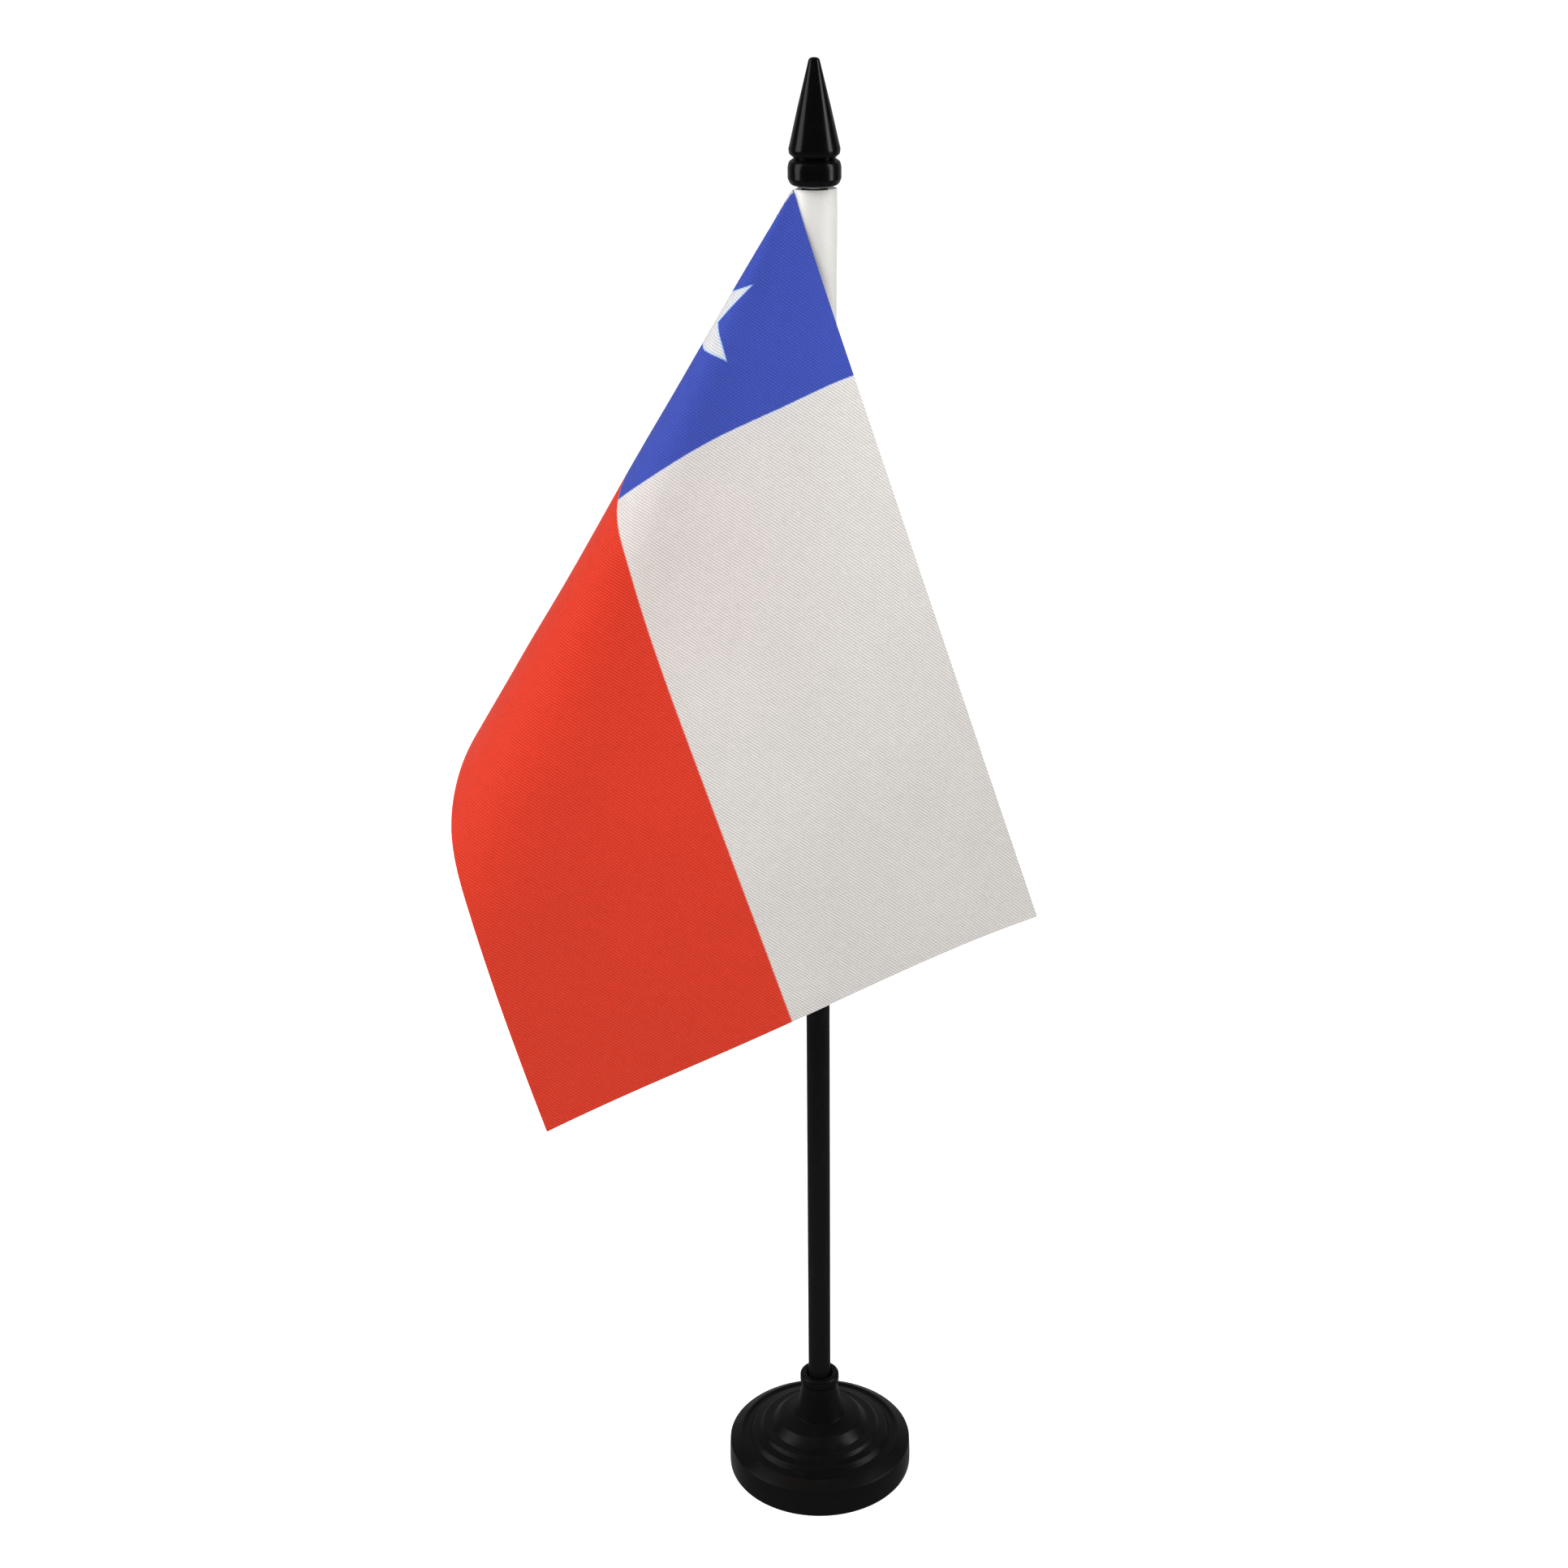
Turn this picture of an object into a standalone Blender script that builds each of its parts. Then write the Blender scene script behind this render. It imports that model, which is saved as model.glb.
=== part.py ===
"""Desk flag stand: a turned foot, a plain pole, a spear finial and a small flag on a sewn sleeve.

Metres, +Z up. The origin is the middle of the foot's underside, on the pole's axis. The flag leaves the pole
towards -X and folds back in front of it, on the -Y side.
"""

import math

import bmesh
import bpy
import numpy as np
from mathutils import Vector

MM = 0.001

# Fits between separate pieces
SOCKET_CLEARANCE = 0.25 * MM  # round a pole end and under it
CLOTH_CLEARANCE = 0.30 * MM  # between cloth, thread and plastic

# Pole
POLE_RADIUS = 2.4 * MM
POLE_LENGTH = 281.8 * MM
POLE_CHAMFER = 0.4 * MM

# Foot
FOOT_RADIUS = 19.9 * MM
FOOT_RIM_HEIGHT = 5.6 * MM  # top of the upright skirt
FOOT_RIM_ROUNDING = 0.8 * MM
FOOT_EDGE_ROUNDING = 0.5 * MM  # at the bottom of the skirt
FOOT_CREST_INSET = 2.6 * MM  # from the skirt in to the top of the sloping shoulder
FOOT_CREST_HEIGHT = 7.8 * MM
FOOT_WALL = 1.6 * MM
FOOT_DISH = 0.4 * MM  # how far the flat outer zone lies below the crest
FOOT_FLOOR = 2.0 * MM  # plastic left under the socket
NECK_HEIGHT = 23.2 * MM  # top of the lip round the socket
NECK_RADIUS = 3.85 * MM  # just under the lip
LIP_RADIUS = 4.2 * MM
LIP_HEIGHT = 2.0 * MM
NECK_FOOT_RADIUS = 7.6 * MM
NECK_FOOT_HEIGHT = 12.0 * MM
BOSS_RADIUS = 4.6 * MM  # socket tube seen from below
# Terraces from the neck's foot outwards: width, height at the outer edge. Their widths and the flat zone's keep
# their proportions and fill the foot from the neck to the crest.
TERRACES = (
    (2.7 * MM, 10.6 * MM),
    (2.4 * MM, 9.8 * MM),
    (2.3 * MM, 8.5 * MM),
)
FLAT_ZONE_WIDTH = 2.3 * MM
TERRACE_STEP = 0.6 * MM  # drop at the outer edge of each terrace

# Finial
FINIAL_HEIGHT = 22.1 * MM
FINIAL_SOCKET_DEPTH = 6.4 * MM
COLLAR_RADIUS = 4.75 * MM
COLLAR_HEIGHT = 4.3 * MM
COLLAR_FLAT_RADIUS = 3.6 * MM
GROOVE_RADIUS = 3.5 * MM
SPEAR_RADIUS = 4.5 * MM
SPEAR_FOOT = 5.2 * MM  # height where the spear starts, over the groove
SPEAR_FOOT_ROUNDING = 1.3 * MM
SPEAR_TIP_RADIUS = 1.05 * MM

# Flag: sizes as cut, sewn to the sleeve along the hoist
FLAG_HOIST = 90.0 * MM
FLAG_FLY = 148.5 * MM
CLOTH_THICKNESS = 0.4 * MM
FLAG_CORNER_CUT = 5.0 * MM  # no cloth nearer the top hoist corner, where the fold has no room
# The cloth hangs as rays from its top hoist corner. Each ray: angle in the flat cloth, down from the top edge;
# lean from straight down; bearing of the lean; stretch of the cloth along the ray. Degrees, and a factor.
FLAG_RAYS = (
    (0.0, 21.5, -28.0, 0.950),
    (20.0, 12.0, -108.0, 1.000),
    (35.0, 22.5, -147.0, 1.055),
    (43.0, 28.5, -152.5, 1.085),
    (50.0, 31.5, -161.0, 1.100),
    (58.0, 31.0, -173.0, 1.050),
    (70.0, 20.5, -180.0, 1.020),
    (90.0, 0.0, -180.0, 1.000),
)

# Sleeve: an oval tube of cloth round the pole, drawn out to the seam at the hoist
SLEEVE_HALF_WIDTH = 3.7 * MM
SLEEVE_SIDE_SHIFT = 0.25 * MM  # the slack hangs to +X
SLEEVE_THICKNESS = 0.25 * MM
SLEEVE_ROOM = 0.12 * MM  # inside, in front of and behind the pole
SEAM_TONGUE = 0.75 * MM
SEAM_TONGUE_SPREAD = math.radians(13)
SEAM_BEARING = math.radians(207)

# Thread along the seam, on the back of the cloth
THREAD_RADIUS = 0.2 * MM
THREAD_END_MARGIN = 1.5 * MM

ROUND_STEPS = 40
PART_NAME = "desk_flag_stand"

POLE_FOOT = FOOT_FLOOR + SOCKET_CLEARANCE
POLE_TOP = POLE_FOOT + POLE_LENGTH
SOCKET_RADIUS = POLE_RADIUS + SOCKET_CLEARANCE
FINIAL_SEAT = POLE_TOP + SOCKET_CLEARANCE - FINIAL_SOCKET_DEPTH  # underside of the collar
HOIST_TOP = FINIAL_SEAT - CLOTH_CLEARANCE
SLEEVE_HALF_DEPTH = POLE_RADIUS + SLEEVE_ROOM + SLEEVE_THICKNESS


def clear_scene():
    for obj in list(bpy.data.objects):
        bpy.data.objects.remove(obj)


def new_collection():
    collection = bpy.data.collections.new(PART_NAME)
    bpy.context.scene.collection.children.link(collection)
    return collection


def material(name, colour, roughness):
    made = bpy.data.materials.new(name)
    made.use_nodes = True
    shader = made.node_tree.nodes["Principled BSDF"]
    shader.inputs["Base Color"].default_value = (*colour, 1.0)
    shader.inputs["Roughness"].default_value = roughness
    shader.inputs["Metallic"].default_value = 0.0
    return made


def add_object(name, data, finish, collection, parent=None, location=(0.0, 0.0, 0.0)):
    obj = bpy.data.objects.new(name, data)
    data.materials.append(finish)
    collection.objects.link(obj)
    obj.parent = parent
    obj.location = location
    return obj


def arc(centre, radius_r, radius_z, start, end, segments):
    """Points on an elliptical arc in the (radius, height) plane; angles in degrees from straight out."""
    angles = np.radians(np.linspace(start, end, segments + 1))
    return [(centre[0] + radius_r * math.cos(a), centre[1] + radius_z * math.sin(a)) for a in angles]


def turned(name, profile, finish, collection, parent=None, location=(0.0, 0.0, 0.0)):
    """A solid of revolution about the object's own Z axis, from (radius, height) points."""
    mesh = bpy.data.meshes.new(name)
    shape = bmesh.new()
    verts = [shape.verts.new((radius, 0.0, height)) for radius, height in profile]
    for lower, upper in zip(verts, verts[1:]):
        shape.edges.new((lower, upper))
    shape.to_mesh(mesh)
    shape.free()
    obj = add_object(name, mesh, finish, collection, parent, location)
    screw = obj.modifiers.new("Turn", "SCREW")
    screw.steps = ROUND_STEPS
    screw.render_steps = ROUND_STEPS
    screw.use_merge_vertices = True
    screw.merge_threshold = 0.00001
    screw.use_smooth_shade = True
    return obj


def terrace_radii():
    """Outer radius of each terrace."""
    widths = [width for width, _ in TERRACES]
    room = FOOT_RADIUS - FOOT_CREST_INSET - NECK_FOOT_RADIUS
    scale = room / (sum(widths) + FLAT_ZONE_WIDTH)
    return [NECK_FOOT_RADIUS + sum(widths[: i + 1]) * scale for i in range(len(widths))]


def foot_profile():
    """From the socket's floor up and over the lip, down the outside, and back under to the axis."""
    radii = terrace_radii()
    heights = [height for _, height in TERRACES]
    lip_mid = (SOCKET_RADIUS + LIP_RADIUS) / 2
    lip_half = (LIP_RADIUS - SOCKET_RADIUS) / 2
    lip_centre = (lip_mid, NECK_HEIGHT - LIP_HEIGHT / 2)
    points = [(0.0, FOOT_FLOOR), (SOCKET_RADIUS, FOOT_FLOOR)]
    points += arc(lip_centre, lip_half, LIP_HEIGHT / 2, 180, -35, 8)

    # The neck flares out in a quarter of an oval, hollow side up.
    flare_height = NECK_HEIGHT - LIP_HEIGHT - NECK_FOOT_HEIGHT
    flare_centre = (NECK_FOOT_RADIUS, NECK_FOOT_HEIGHT + flare_height)
    points += arc(flare_centre, NECK_FOOT_RADIUS - NECK_RADIUS, flare_height, 180, 245, 5)

    inner_radius = NECK_FOOT_RADIUS
    inner_height = NECK_FOOT_HEIGHT
    for outer_radius, outer_height in zip(radii, heights):
        points.append((inner_radius, inner_height))
        points.append((inner_radius + TERRACE_STEP / 2, inner_height - TERRACE_STEP))
        inner_radius = outer_radius
        inner_height = outer_height
    points.append((inner_radius, inner_height))
    zone_height = FOOT_CREST_HEIGHT - FOOT_DISH
    points.append((inner_radius + TERRACE_STEP / 2, zone_height))

    rim_centre = (FOOT_RADIUS - FOOT_RIM_ROUNDING, FOOT_RIM_HEIGHT - FOOT_RIM_ROUNDING)
    crest_radius = FOOT_RADIUS - FOOT_CREST_INSET
    points.append((crest_radius - FOOT_DISH * 2, zone_height))
    points.append((crest_radius, FOOT_CREST_HEIGHT))
    points += arc(rim_centre, FOOT_RIM_ROUNDING, FOOT_RIM_ROUNDING, 50, 0, 4)
    edge_centre = (FOOT_RADIUS - FOOT_EDGE_ROUNDING, FOOT_EDGE_ROUNDING)
    points += arc(edge_centre, FOOT_EDGE_ROUNDING, FOOT_EDGE_ROUNDING, 0, -90, 2)

    # Underside: hollow between the skirt and the socket's boss.
    skirt_inside = FOOT_RADIUS - FOOT_WALL
    points.append((skirt_inside, 0.0))
    points.append((skirt_inside, FOOT_RIM_HEIGHT - FOOT_WALL))
    points.append((crest_radius, zone_height - FOOT_WALL))
    points.append((radii[1], zone_height - FOOT_WALL))
    points.append((NECK_FOOT_RADIUS, heights[0] - FOOT_WALL - TERRACE_STEP))
    points.append((BOSS_RADIUS, heights[0] - FOOT_WALL))
    points.append((BOSS_RADIUS, 0.0))
    points.append((0.0, 0.0))
    return points


def finial_profile():
    """From the tip down the outside, over the groove and collar, and up the socket to its end."""
    tip_centre = (0.0, FINIAL_HEIGHT - SPEAR_TIP_RADIUS)
    points = [(0.0, FINIAL_HEIGHT)]
    points += arc(tip_centre, SPEAR_TIP_RADIUS, SPEAR_TIP_RADIUS, 90, 12, 4)[1:]
    foot_centre = (SPEAR_RADIUS - SPEAR_FOOT_ROUNDING, SPEAR_FOOT + SPEAR_FOOT_ROUNDING)
    points += arc(foot_centre, SPEAR_FOOT_ROUNDING, SPEAR_FOOT_ROUNDING, 12, -70, 5)
    points.append((GROOVE_RADIUS, (SPEAR_FOOT + COLLAR_HEIGHT) / 2))
    collar_centre = (COLLAR_FLAT_RADIUS, COLLAR_HEIGHT / 2)
    points += arc(collar_centre, COLLAR_RADIUS - COLLAR_FLAT_RADIUS, COLLAR_HEIGHT / 2, 75, -90, 8)
    points.append((SOCKET_RADIUS, 0.0))
    points.append((SOCKET_RADIUS, FINIAL_SOCKET_DEPTH))
    points.append((0.0, FINIAL_SOCKET_DEPTH))
    return points


def pole_profile():
    return [
        (0.0, POLE_LENGTH),
        (POLE_RADIUS - POLE_CHAMFER, POLE_LENGTH),
        (POLE_RADIUS, POLE_LENGTH - POLE_CHAMFER),
        (POLE_RADIUS, POLE_CHAMFER),
        (POLE_RADIUS - POLE_CHAMFER, 0.0),
        (0.0, 0.0),
    ]


def sleeve_outline(inset, tongue, segments=48):
    """A closed oval round the pole's axis, with a tongue of the given length at the seam."""
    points = []
    for step in range(segments):
        bearing = 2 * math.pi * step / segments
        off_seam = (bearing - SEAM_BEARING) / SEAM_TONGUE_SPREAD
        reach = tongue * math.exp(-off_seam * off_seam)
        points.append(
            (
                SLEEVE_SIDE_SHIFT + (SLEEVE_HALF_WIDTH - inset + reach) * math.cos(bearing),
                (SLEEVE_HALF_DEPTH - inset + reach) * math.sin(bearing),
            )
        )
    return points


def hoist_corner():
    """Where the flag's top hoist corner hangs: one clearance off the tip of the sleeve's tongue."""
    reach = SEAM_TONGUE + CLOTH_CLEARANCE + CLOTH_THICKNESS / 2
    return Vector(
        (
            SLEEVE_SIDE_SHIFT + (SLEEVE_HALF_WIDTH + reach) * math.cos(SEAM_BEARING),
            (SLEEVE_HALF_DEPTH + reach) * math.sin(SEAM_BEARING),
            HOIST_TOP,
        )
    )


def ray_vectors():
    vectors = []
    for _, lean, bearing, stretch in FLAG_RAYS:
        lean, bearing = math.radians(lean), math.radians(bearing)
        across = stretch * math.sin(lean)
        vectors.append((across * math.cos(bearing), across * math.sin(bearing), -stretch * math.cos(lean)))
    return np.array(vectors)


def natural_spline_slopes(knots, values):
    """Slopes at the knots of the natural cubic spline through the values."""
    gaps = np.diff(knots)
    rises = np.diff(values, axis=0) / gaps[:, None]
    count = len(knots)
    system = np.zeros((count, count))
    right = np.zeros((count, values.shape[1]))
    system[0, :2] = 2, 1
    right[0] = 3 * rises[0]
    system[-1, -2:] = 1, 2
    right[-1] = 3 * rises[-1]
    for i in range(1, count - 1):
        system[i, i - 1 : i + 2] = gaps[i], 2 * (gaps[i - 1] + gaps[i]), gaps[i - 1]
        right[i] = 3 * (gaps[i] * rises[i - 1] + gaps[i - 1] * rises[i])
    return np.linalg.solve(system, right)


def flag_ray(angle):
    """Where one metre of cloth along the ray at this angle, in degrees, ends, from the hoist corner."""
    knots = np.array([ray[0] for ray in FLAG_RAYS])
    values = ray_vectors()
    slopes = natural_spline_slopes(knots, values)
    i = min(int(np.searchsorted(knots, angle, side="right")) - 1, len(knots) - 2)
    gap = knots[i + 1] - knots[i]
    t = (angle - knots[i]) / gap
    start = (1 + 2 * t) * (1 - t) ** 2 * values[i] + t * (1 - t) ** 2 * gap * slopes[i]
    end = t * t * (3 - 2 * t) * values[i + 1] + t * t * (t - 1) * gap * slopes[i + 1]
    return Vector(start + end)


def cloth_reach(angle):
    """Length of the ray at this angle, in degrees, inside the flag's rectangle."""
    angle = math.radians(angle)
    to_fly = FLAG_FLY / max(math.cos(angle), 1e-9)
    to_bottom = FLAG_HOIST / max(math.sin(angle), 1e-9)
    return min(to_fly, to_bottom)


def ray_angles():
    """Angles of the grid's rays; one of them runs to the bottom fly corner."""
    corner = math.degrees(math.atan2(FLAG_HOIST, FLAG_FLY))
    return list(np.linspace(0, corner, 8)) + list(np.linspace(corner, 90, 18))[1:]


def make_flag(finish, collection, parent):
    """A thin sheet on a grid of rays from the top hoist corner, given thickness on both sides."""
    angles = ray_angles()
    rows = 12
    shape = bmesh.new()
    bmesh.ops.create_grid(shape, x_segments=len(angles) - 1, y_segments=rows, size=0.5)
    for vert in shape.verts:
        column = round((vert.co.x + 0.5) * (len(angles) - 1))
        share = vert.co.y + 0.5
        angle = angles[column]
        reach = FLAG_CORNER_CUT + share * (cloth_reach(angle) - FLAG_CORNER_CUT)
        vert.co = hoist_corner() + flag_ray(angle) * reach
    mesh = bpy.data.meshes.new("flag_cloth")
    shape.to_mesh(mesh)
    shape.free()
    mesh.shade_smooth()
    obj = add_object("flag_cloth", mesh, finish, collection, parent)
    solidify = obj.modifiers.new("Cloth", "SOLIDIFY")
    solidify.thickness = CLOTH_THICKNESS
    solidify.offset = 0.0
    return obj


def make_sleeve(finish, collection, parent):
    """The outline and the hole inside it, extruded along the hoist."""
    curve = bpy.data.curves.new("pole_sleeve", "CURVE")
    curve.dimensions = "2D"
    curve.fill_mode = "BOTH"
    curve.extrude = FLAG_HOIST / 2
    for outline in (sleeve_outline(0.0, SEAM_TONGUE), sleeve_outline(SLEEVE_THICKNESS, 0.0)):
        spline = curve.splines.new("POLY")
        spline.points.add(len(outline) - 1)
        for point, (x, y) in zip(spline.points, outline):
            point.co = (x, y, 0.0, 1.0)
        spline.use_cyclic_u = True
    middle = HOIST_TOP - FLAG_HOIST / 2
    return add_object("pole_sleeve", curve, finish, collection, parent, (0.0, 0.0, middle))


def make_thread(finish, collection, parent):
    """One row of stitching, drawn as a thin cord down the back of the hoist."""
    corner = hoist_corner()
    off = CLOTH_THICKNESS / 2 + CLOTH_CLEARANCE + THREAD_RADIUS
    curve = bpy.data.curves.new("seam_thread", "CURVE")
    curve.dimensions = "3D"
    curve.bevel_depth = THREAD_RADIUS
    curve.bevel_resolution = 1
    curve.use_fill_caps = True
    spline = curve.splines.new("POLY")
    spline.points.add(1)
    length = FLAG_HOIST - FLAG_CORNER_CUT - THREAD_END_MARGIN * 2
    for point, height in zip(spline.points, (length / 2, -length / 2)):
        point.co = (0.0, 0.0, height, 1.0)
    middle = HOIST_TOP - FLAG_CORNER_CUT - THREAD_END_MARGIN - length / 2
    place = (corner.x - off, corner.y + off, middle)
    return add_object("seam_thread", curve, finish, collection, parent, place)


def main():
    clear_scene()
    parts = new_collection()
    black_satin = material("black_satin_plastic", (0.012, 0.012, 0.013), 0.38)
    black_gloss = material("black_gloss_plastic", (0.008, 0.008, 0.009), 0.16)
    print_cloth = material("printed_polyester", (0.70, 0.05, 0.03), 0.75)
    white_cloth = material("white_polyester", (0.75, 0.74, 0.71), 0.75)
    white_thread = material("white_thread", (0.80, 0.79, 0.76), 0.65)

    turned("base", foot_profile(), black_satin, parts)
    turned("pole", pole_profile(), black_satin, parts, location=(0.0, 0.0, POLE_FOOT))
    turned("finial", finial_profile(), black_gloss, parts, location=(0.0, 0.0, FINIAL_SEAT))

    # The flag, its sleeve and its thread turn together about the pole's axis.
    swivel = bpy.data.objects.new("flag_swivel", None)
    parts.objects.link(swivel)
    make_flag(print_cloth, parts, swivel)
    make_sleeve(white_cloth, parts, swivel)
    make_thread(white_thread, parts, swivel)


main()
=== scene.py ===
# Looks of the desk flag stand: fine turned plastic, printed twill, sleeve and stitches, in a white studio.

import math

import bmesh
import bpy
import numpy as np
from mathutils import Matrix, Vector, noise


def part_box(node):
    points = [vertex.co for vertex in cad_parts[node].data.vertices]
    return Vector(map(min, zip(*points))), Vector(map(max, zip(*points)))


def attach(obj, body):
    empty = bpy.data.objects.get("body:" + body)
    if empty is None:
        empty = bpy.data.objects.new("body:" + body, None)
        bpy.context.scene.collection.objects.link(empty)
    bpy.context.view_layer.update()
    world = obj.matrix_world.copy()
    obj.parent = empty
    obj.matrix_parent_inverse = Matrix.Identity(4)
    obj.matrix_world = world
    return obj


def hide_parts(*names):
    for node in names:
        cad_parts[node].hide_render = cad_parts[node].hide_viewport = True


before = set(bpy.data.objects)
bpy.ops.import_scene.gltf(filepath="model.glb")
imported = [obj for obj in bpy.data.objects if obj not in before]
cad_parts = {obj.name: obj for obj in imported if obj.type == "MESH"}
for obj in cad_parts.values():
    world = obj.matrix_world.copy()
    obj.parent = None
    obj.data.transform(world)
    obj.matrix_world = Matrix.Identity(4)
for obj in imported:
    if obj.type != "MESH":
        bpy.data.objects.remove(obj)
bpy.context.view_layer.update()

MM = 0.001

# Flag as cut, and how it hangs: the rays of the CAD model's drape.
# Each ray: angle in the flat cloth, down from the top edge; lean from straight down; bearing; stretch.
FLAG_HOIST = 90.0
FLAG_FLY = 148.5
FLAG_RAYS = (
    (0.0, 21.5, -28.0, 0.950),
    (20.0, 12.0, -108.0, 1.000),
    (35.0, 22.5, -147.0, 1.055),
    (43.0, 28.5, -152.5, 1.085),
    (50.0, 31.5, -161.0, 1.100),
    (58.0, 31.0, -173.0, 1.050),
    (70.0, 20.5, -180.0, 1.020),
    (90.0, 0.0, -180.0, 1.000),
)
# The top hoist corner beside the pole's axis, in mm; how its stitched tip is tucked up to the sleeve,
# and how far down the cloth that pull reaches
CORNER_X = -4.16
CORNER_Y = -1.83
CORNER_TUCK = np.array((0.40, -0.15, 0.20))
TUCK_REACH = 7.0

# Mesh of the cloth, and the height in mm of its slight waves off the smooth drape
CLOTH_COLUMNS = 198
CLOTH_ROWS = 120
WAVE_HEIGHT = 0.45
RIPPLE_HEIGHT = 0.07

# Printed artwork, in mm of flat cloth from the top hoist corner
CANTON_WIDTH = 36.1
BAND_EDGE = 45.0
STAR_X = 12.7
STAR_Y = 22.15
STAR_RADIUS = 11.2
STAR_INNER = 0.382
PRINT_BLUR = 0.16

# Twill: rib spacing in mm, the direction across the ribs in the flat cloth, and the depth of the weave in mm
RIB_PITCH = 0.44
RIB_ACROSS = (0.507, 0.862)
WEAVE_DEPTH = 0.06

# Sleeve tape, in mm: a strip sewn over the back of the hoist, and then its path round the pole from above
TAPE_LAP = 2.6
TAPE_LAP_EDGE = 0.4
TAPE_LAP_GAP = 0.25
TAPE_MITRE = 4.5
TAPE_COLUMNS = 110
TAPE_LAP_COLUMNS = 6
TAPE_LEVELS = 90
TAPE_PATH = (
    (-4.30, -1.45),
    (-3.45, -0.20),
    (-2.35, 1.75),
    (-0.2, 2.70),
    (2.2, 2.35),
    (3.75, 0.95),
    (3.90, -0.35),
    (2.5, -2.10),
    (0.2, -2.66),
    (-2.1, -2.34),
    (-3.4, -1.75),
    (-4.1, -1.45),
)

# Stitches, in mm: length, spacing, distance in from the hoist, first one below the top, rise of each loop
STITCH_LENGTH = 2.1
STITCH_PITCH = 2.7
STITCH_IN = 1.5
STITCH_TOP = 4.0
STITCH_RISE = 0.16
THREAD_RADIUS = 0.13
THREAD_SIDES = 6
THREAD_PIECES = 8

# Mouldings, in mm: sockets, the wall under the foot, and the half-width of the finial's mould seam
SOCKET_RADIUS = 2.65
FOOT_WALL = 1.6
SEAM_WIDTH = 0.14
SEAM_HEIGHT = 0.07

# Studio: the table's glow as light and as seen, and the room as light, as mirrored and as seen
FLOOR_RADIUS = 12.0
FLOOR_GLOW = 0.25
FLOOR_SEEN = 0.62
ROOM_LIGHT = 0.45
ROOM_MIRRORED = 0.02
ROOM_MIRRORED_BEHIND = 0.22
ROOM_MIRRORED_BELOW = 0.09
ROOM_SEEN = 1.2
WHITE = (1.0, 1.0, 1.0, 1.0)

# Softboxes: name, place, what it points at, width, height, power, whether shiny surfaces mirror it
SOFTBOXES = (
    ("left_box", (-0.80, -0.14, 0.50), (0.0, 0.0, 0.20), 0.42, 0.9, 1.6, True),
    ("right_box", (0.80, -0.16, 0.45), (0.0, 0.0, 0.20), 0.26, 0.9, 1.9, True),
    ("top_box", (-0.25, -0.35, 1.3), (0.0, 0.0, 0.0), 1.2, 1.2, 4.5, False),
    ("key_box", (-0.24, -0.42, 0.66), (0.0, 0.0, 0.22), 0.35, 0.35, 3.0, False),
)

# Camera: place in m, degrees below level, degrees of roll, lens and sensor in mm, sideways shift
CAMERA_PLACE = (0.0, -0.434, 0.346)
CAMERA_TILT = 22.9
CAMERA_ROLL = -0.24
CAMERA_LENS = 55.1
CAMERA_SENSOR = 36.0
CAMERA_SHIFT = -0.0211
CAMERA_NEAR = 0.01


# ---------------------------------------------------------------- meshes

def add_mesh(name, verts, faces, material, body, replaced, sharp=None):
    mesh = bpy.data.meshes.new(name)
    mesh.from_pydata([tuple(v) for v in verts], [], faces)
    mesh.update()
    mesh.shade_smooth()
    if sharp is not None:
        mesh.set_sharp_from_angle(angle=math.radians(sharp))
    mesh.materials.append(material)
    obj = bpy.data.objects.new(name, mesh)
    bpy.context.scene.collection.objects.link(obj)
    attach(obj, body)
    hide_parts(replaced)
    return obj


def filleted(corners, segments=6):
    """A profile from (radius, height, fillet) corners, in mm, each corner rounded by its fillet."""
    points = []
    last = len(corners) - 1
    for i, (r, z, fillet) in enumerate(corners):
        here = np.array((r, z))
        if fillet <= 0 or i in (0, last):
            points.append(tuple(here))
            continue
        back = np.array(corners[i - 1][:2]) - here
        ahead = np.array(corners[i + 1][:2]) - here
        back_length, ahead_length = np.linalg.norm(back), np.linalg.norm(ahead)
        back, ahead = back / back_length, ahead / ahead_length
        half = math.acos(float(np.clip(back @ ahead, -1, 1))) / 2
        if half > math.radians(88):
            points.append(tuple(here))
            continue
        run = min(fillet / math.tan(half), 0.48 * back_length, 0.48 * ahead_length)
        start, end = here + back * run, here + ahead * run
        for k in range(segments + 1):
            t = k / segments
            bend = (1 - t) ** 2 * start + 2 * t * (1 - t) * here + t * t * end
            points.append(tuple(bend))
    return points


def turned(name, profile, steps, material, body, replaced, base_z=0.0, seam=0.0):
    """A turned solid from a profile in mm whose first and last points are on the axis. seam is the height,
    in mm, of the mould's parting line on both sides, which stays out of the socket."""
    verts, faces = [], []
    rows = len(profile) - 2
    verts.append((0, 0, base_z + profile[0][1] * MM))
    for r, z in profile[1:-1]:
        for k in range(steps):
            angle = 2 * math.pi * k / steps
            off = (angle + math.pi / 2) % math.pi - math.pi / 2
            ridge = seam * math.exp(-((off * r) / SEAM_WIDTH) ** 2) if r > SOCKET_RADIUS + 0.05 else 0.0
            reach = (r + ridge) * MM
            verts.append((reach * math.cos(angle), reach * math.sin(angle), base_z + z * MM))
    verts.append((0, 0, base_z + profile[-1][1] * MM))
    for k in range(steps):
        after = (k + 1) % steps
        faces.append((0, 1 + k, 1 + after))
        for row in range(rows - 1):
            a = 1 + row * steps
            b = a + steps
            faces.append((a + k, b + k, b + after, a + after))
        a = 1 + (rows - 1) * steps
        faces.append((a + k, len(verts) - 1, a + after))
    return add_mesh(name, verts, faces, material, body, replaced, sharp=35)


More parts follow.
